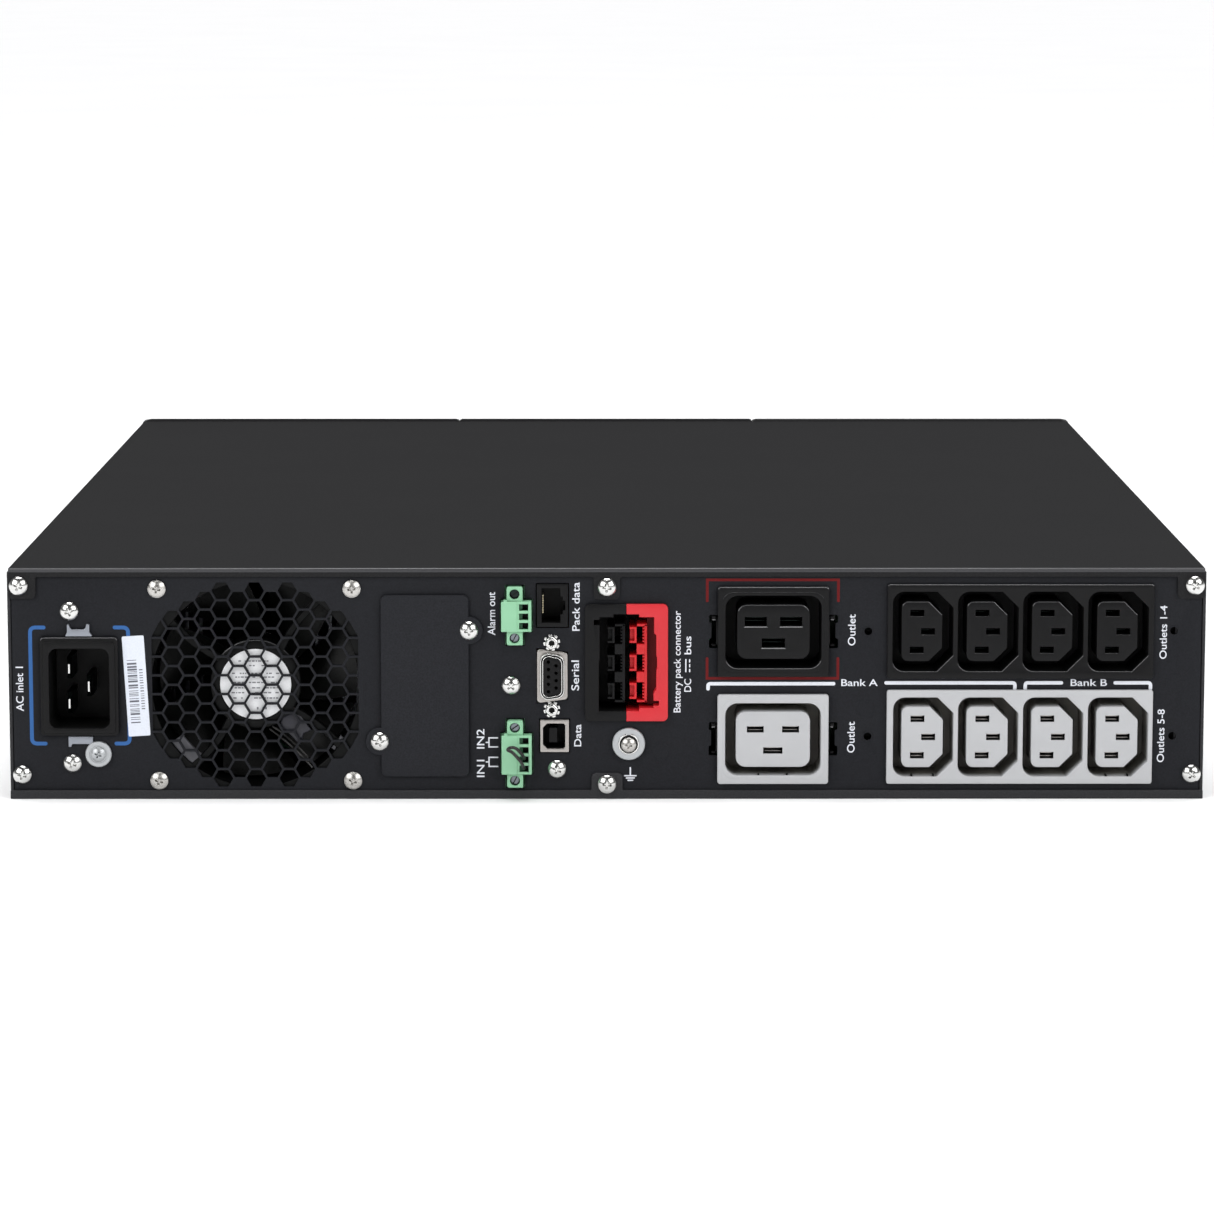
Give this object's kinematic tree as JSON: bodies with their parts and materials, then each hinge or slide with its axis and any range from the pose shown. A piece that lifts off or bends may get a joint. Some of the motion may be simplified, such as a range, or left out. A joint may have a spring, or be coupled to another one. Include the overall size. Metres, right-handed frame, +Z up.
{
  "type": "rackmount uninterruptible power supply",
  "caption": "Low, wide rack-mount battery backup power supply with a rear panel of mains inlet, fan guard, data ports, terminal plugs and outlet banks, and a three-part front bezel.",
  "frame": {"origin": "centre of the footprint of the whole object, on the surface that it stands on", "axes": "+X to the right when facing the rear panel, +Y from the rear panel to the front bezel, +Z up"},
  "size_m": [0.44, 0.5394, 0.0872],
  "materials": {
    "case_coat": "fine-texture powder coat, charcoal",
    "panel_coat": "fine-texture powder coat, blue-black",
    "nickel_steel": "bright nickel plate",
    "black_plastic": "satin moulded nylon",
    "grey_plastic": "satin moulded nylon",
    "green_plastic": "satin moulded terminal block",
    "red_plastic": "satin moulded housing",
    "retainer_zinc": "dull zinc plate",
    "bezel_plastic": "textured moulding",
    "display_plastic": "dark tinted window",
    "rubber": "matt",
    "circuit_board": "green solder mask",
    "aluminium": "extruded, satin",
    "capacitor_sleeve": "shrink sleeve",
    "copper_winding": "enamelled copper wire",
    "battery_case": "moulded battery housing"
  },
  "bodies": {
    "case": {"chassis_base": "case_coat", "top_cover": "case_coat", "rear_panel": "panel_coat", "fan_guard": "panel_coat", "cover_screw_left": "nickel_steel", "cover_screw_middle": "nickel_steel", "cover_screw_right": "nickel_steel", "base_screw_left": "nickel_steel", "base_screw_middle": "nickel_steel", "base_screw_right": "nickel_steel", "inlet_housing": "black_plastic", "inlet_pin_line": "nickel_steel", "inlet_pin_neutral": "nickel_steel", "inlet_pin_earth": "nickel_steel", "inlet_retainer_upper": "retainer_zinc", "inlet_retainer_lower": "retainer_zinc", "inlet_earth_screw": "nickel_steel", "fan_frame": "black_plastic", "relay_header": "green_plastic", "signal_header": "green_plastic", "network_jack": "black_plastic", "serial_shell": "nickel_steel", "serial_insert": "black_plastic", "usb_shell": "nickel_steel", "usb_tongue": "black_plastic", "battery_port_black": "black_plastic", "battery_port_red": "red_plastic", "ground_stud": "nickel_steel", "outlet_16a_black": "black_plastic", "outlet_16a_grey": "grey_plastic", "outlet_bank_black": "black_plastic", "outlet_bank_grey": "grey_plastic", "power_board": "circuit_board", "heatsink_left": "aluminium", "heatsink_right": "aluminium", "bus_capacitor_front": "capacitor_sleeve", "bus_capacitor_rear": "capacitor_sleeve", "input_choke": "copper_winding", "output_choke": "copper_winding", "control_board": "circuit_board", "outlet_board": "circuit_board", "battery_bay_wall": "case_coat", "front_panel": "case_coat", "bezel_center": "bezel_plastic", "display_window": "display_plastic"},
    "fan": {"fan_rotor": "black_plastic"},
    "relay_plug": {"relay_plug": "green_plastic"},
    "signal_plug": {"signal_plug": "green_plastic", "jumper_wire": "rubber"},
    "slot_cover": {"slot_cover": "case_coat", "slot_cover_screw_upper": "nickel_steel", "slot_cover_screw_lower": "nickel_steel"},
    "battery": {"battery_module": "battery_case", "battery_pull_tab": "rubber"},
    "bezel_left": {"bezel_left": "bezel_plastic"},
    "bezel_right": {"bezel_right": "bezel_plastic"},
    "button_escape": {"button_escape": "rubber"},
    "button_up": {"button_up": "rubber"},
    "button_down": {"button_down": "rubber"},
    "button_enter": {"button_enter": "rubber"}
  },
  "joints": [
    {"name": "fan_spin", "type": "hinge", "parent": "case", "child": "fan", "pos_m": [-0.1293, -0.24155, 0.0425], "axis": [0, -1, 0], "continuous": true},
    {"name": "relay_plug_pull", "type": "slide", "parent": "case", "child": "relay_plug", "axis": [0, -1, 0], "range_m": [0, 0.02]},
    {"name": "signal_plug_pull", "type": "slide", "parent": "case", "child": "signal_plug", "axis": [0, -1, 0], "range_m": [0, 0.02]},
    {"name": "slot_cover_pull", "type": "slide", "parent": "case", "child": "slot_cover", "axis": [0, -1, 0], "range_m": [0, 0.03]},
    {"name": "battery_slide", "type": "slide", "parent": "case", "child": "battery", "axis": [0, 1, 0], "range_m": [0, 0.395]},
    {"name": "bezel_right_off", "type": "slide", "parent": "case", "child": "bezel_right", "axis": [0, 1, 0], "range_m": [0, 0.4]},
    {"name": "bezel_left_off", "type": "slide", "parent": "case", "child": "bezel_left", "axis": [0, 1, 0], "range_m": [0, 0.06]},
    {"name": "button_escape_press", "type": "slide", "parent": "case", "child": "button_escape", "axis": [0, -1, 0], "range_m": [0, 0.0012], "stiffness_N_per_m": 200},
    {"name": "button_up_press", "type": "slide", "parent": "case", "child": "button_up", "axis": [0, -1, 0], "range_m": [0, 0.0012], "stiffness_N_per_m": 200},
    {"name": "button_down_press", "type": "slide", "parent": "case", "child": "button_down", "axis": [0, -1, 0], "range_m": [0, 0.0012], "stiffness_N_per_m": 200},
    {"name": "button_enter_press", "type": "slide", "parent": "case", "child": "button_enter", "axis": [0, -1, 0], "range_m": [0, 0.0012], "stiffness_N_per_m": 200}
  ],
  "couplings": [
    {"joint": "bezel_right_off", "follows": "battery_slide", "ratio": 1}
  ]
}
